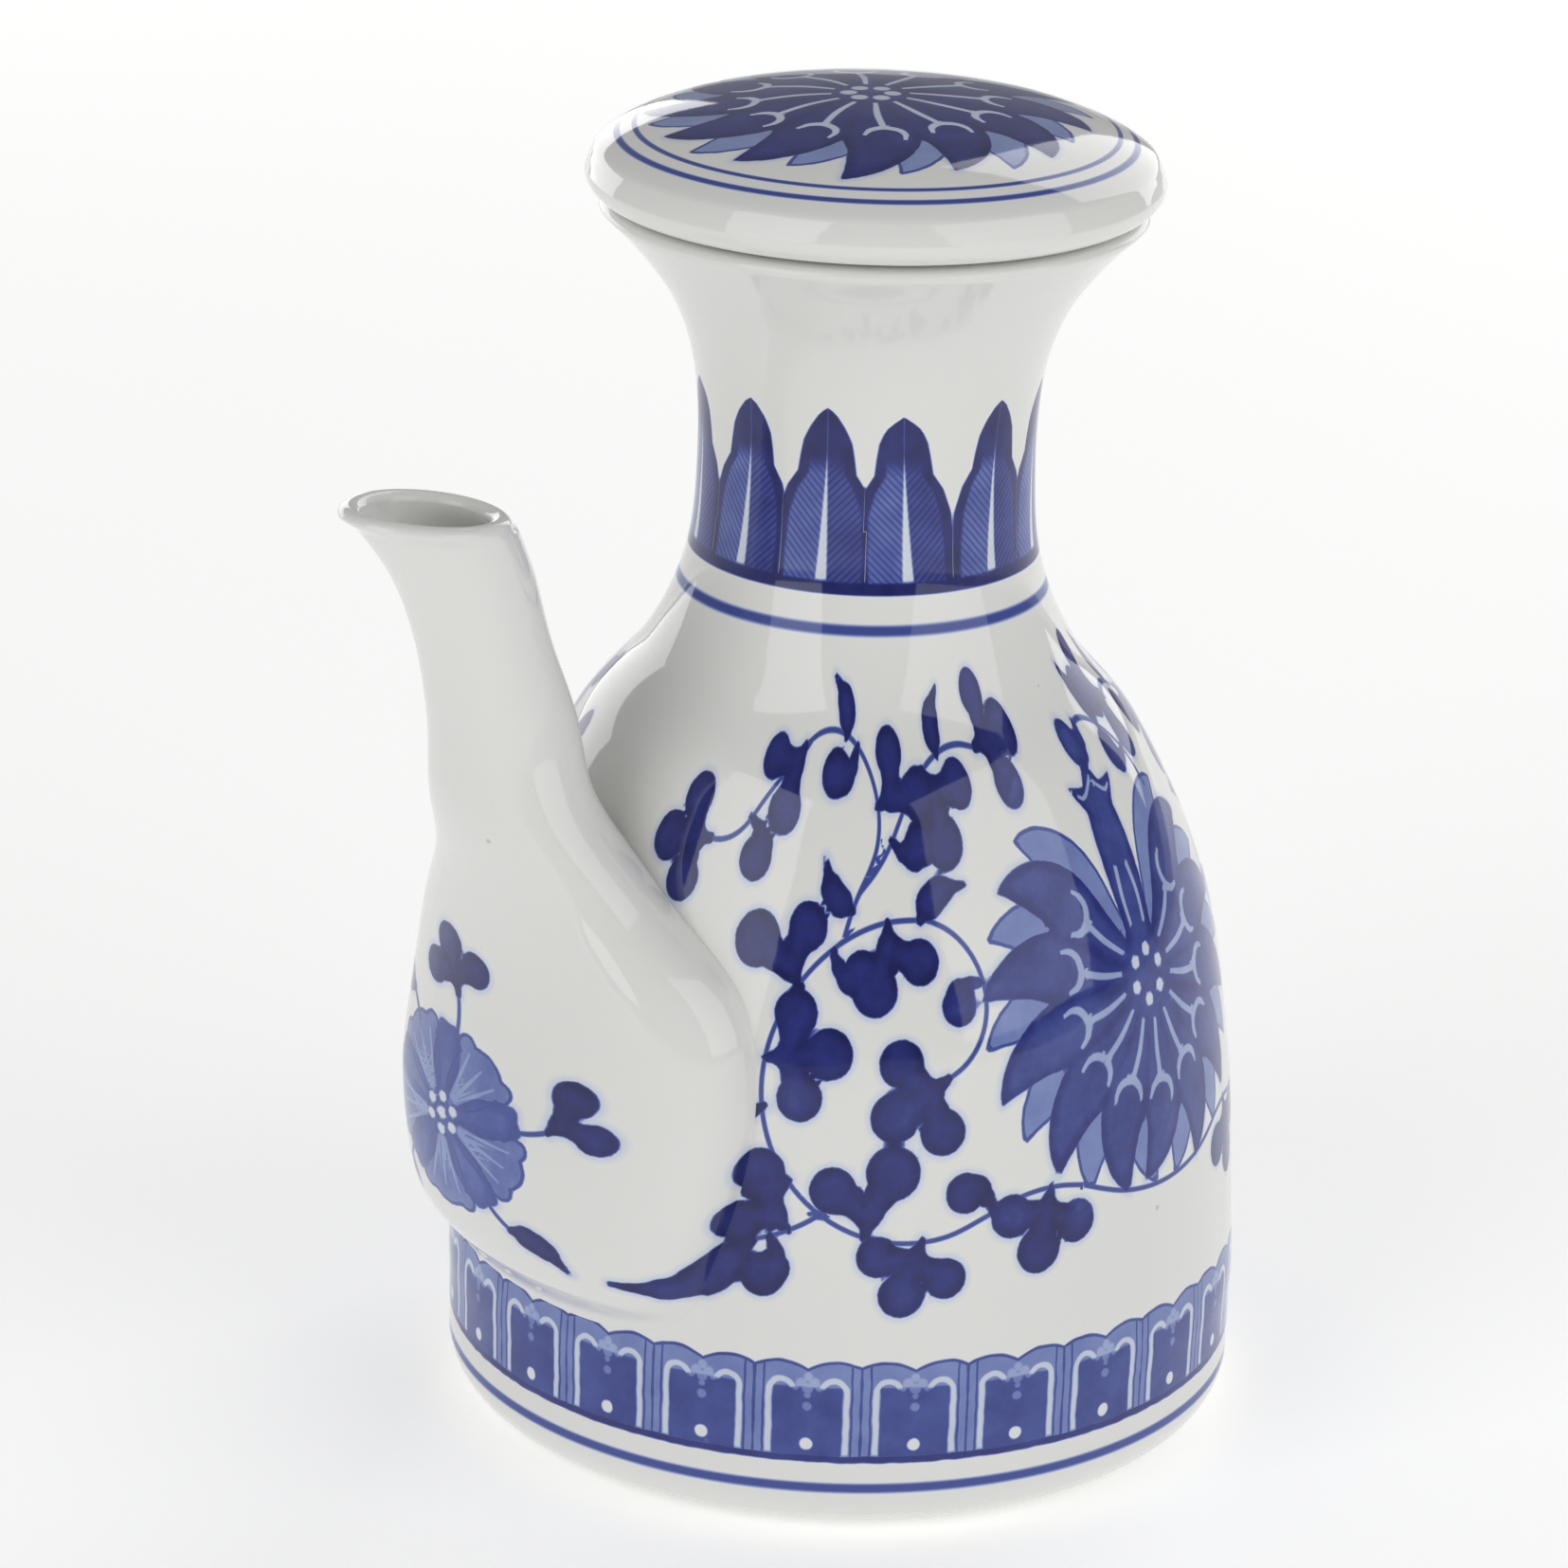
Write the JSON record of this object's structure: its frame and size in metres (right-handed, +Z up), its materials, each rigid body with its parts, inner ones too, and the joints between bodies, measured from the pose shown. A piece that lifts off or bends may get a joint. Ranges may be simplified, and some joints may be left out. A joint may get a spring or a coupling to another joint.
{
  "type": "sake bottle",
  "caption": "Glazed porcelain cruet for sake with a flared mouth, a slender upright pouring spout with a bulbous base, and a drop-on domed lid.",
  "frame": {"origin": "bottom centre of the whole footprint, on the surface that the bottle stands on; the bottle's own axis is at x = +10.05 mm", "axes": "+Z up along the bottle's axis; the spout points along -X; the object is the same on both sides of the XZ plane"},
  "size_m": [0.1033, 0.0834, 0.14],
  "materials": {
    "bottle_porcelain": "clear glossy glaze over white porcelain with cobalt blue underglaze painting",
    "spout_porcelain": "clear glossy glaze over white porcelain with cobalt blue underglaze painting",
    "lid_porcelain": "clear glossy glaze over white porcelain with cobalt blue underglaze painting",
    "unglazed_ring": "bare fired porcelain, matte, where the lid sits inside the mouth"
  },
  "bodies": {
    "bottle": {"bottle_body": "bottle_porcelain", "spout": "spout_porcelain"},
    "lid": {"lid_cap": "lid_porcelain", "lid_ring": "unglazed_ring"}
  },
  "joints": [
    {"name": "lid_lift", "type": "slide", "parent": "bottle", "child": "lid", "axis": [0, 0, 1], "range_m": [0, 0.03]}
  ]
}
